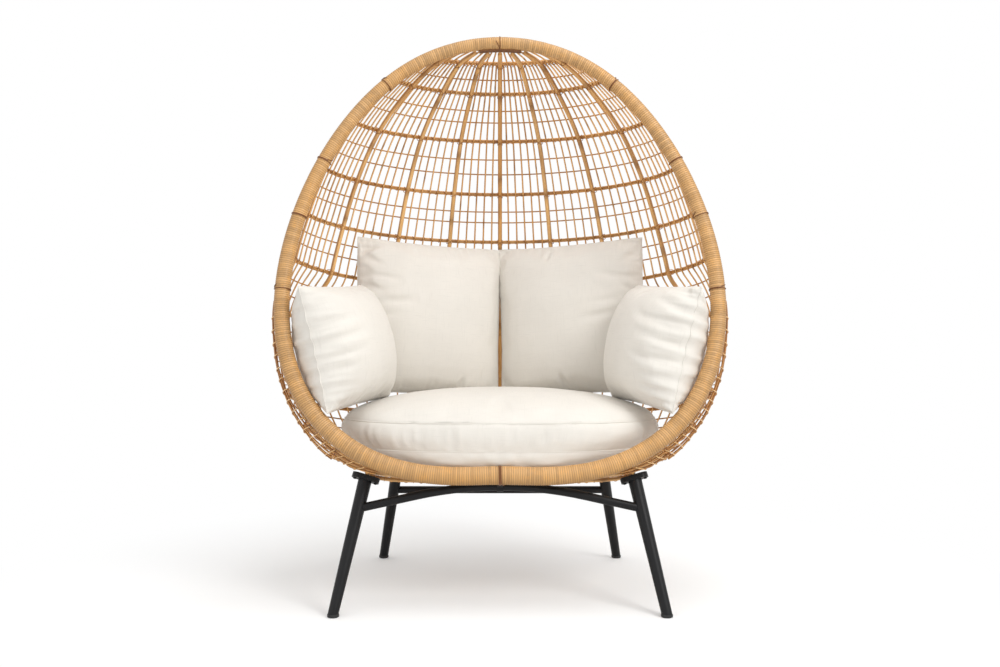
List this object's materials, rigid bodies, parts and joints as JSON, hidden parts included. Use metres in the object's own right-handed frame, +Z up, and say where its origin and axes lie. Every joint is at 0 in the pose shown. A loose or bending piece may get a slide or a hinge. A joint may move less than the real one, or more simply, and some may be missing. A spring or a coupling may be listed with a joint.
{
  "type": "egg chair",
  "caption": "Standing egg-shaped garden seat: open rattan lattice shell on a cane-wound rim, splayed steel legs with stretchers, seat cushion and pillows.",
  "frame": {"origin": "centre of the footprint of the whole chair, on the floor", "axes": "+Z up, the open front faces -Y, +X to the viewer's right when looking at the front"},
  "size_m": [1.2466, 0.7483, 1.5321],
  "materials": {
    "wound_cane": "satin",
    "dark_cane": "satin",
    "rattan": "satin",
    "black_steel": "satin",
    "glide_rubber": "matte",
    "cream_fabric": "matte"
  },
  "bodies": {
    "root": {"rim_left": "wound_cane", "rim_right": "wound_cane", "rim_ties": "dark_cane", "foot_tie": "dark_cane", "rib_centre": "rattan", "rib_left_1": "rattan", "rib_right_1": "rattan", "rib_left_2": "rattan", "rib_right_2": "rattan", "rib_left_3": "rattan", "rib_right_3": "rattan", "rib_left_4": "rattan", "rib_right_4": "rattan", "hoop_0": "rattan", "hoop_1": "rattan", "hoop_2": "rattan", "hoop_3": "rattan", "hoop_4": "rattan", "hoop_5": "rattan", "hoop_6": "rattan", "hoop_7": "rattan", "hoop_8": "rattan", "hoop_9": "rattan", "hoop_10": "rattan", "hoop_11": "rattan", "hoop_12": "rattan", "hoop_13": "rattan", "rods_left_inner": "rattan", "rods_right_inner": "rattan", "rods_left_outer": "rattan", "rods_right_outer": "rattan", "rods_left_band": "rattan", "rods_right_band": "rattan", "thin_hoops_top": "rattan", "thin_hoops_middle": "rattan", "thin_hoops_low": "rattan", "leg_front_left": "black_steel", "leg_front_right": "black_steel", "leg_back_left": "black_steel", "leg_back_right": "black_steel", "plate_front_left": "black_steel", "plate_front_right": "black_steel", "plate_back_left": "black_steel", "plate_back_right": "black_steel", "glide_front_left": "glide_rubber", "glide_front_right": "glide_rubber", "glide_back_left": "glide_rubber", "glide_back_right": "glide_rubber", "front_stretcher": "black_steel", "back_stretcher": "black_steel", "centre_clip": "black_steel", "plate_screws": "black_steel", "seat_cushion": "cream_fabric", "back_pillow_left": "cream_fabric", "back_pillow_right": "cream_fabric", "side_pillow_left": "cream_fabric", "side_pillow_right": "cream_fabric"}
  },
  "joints": []
}
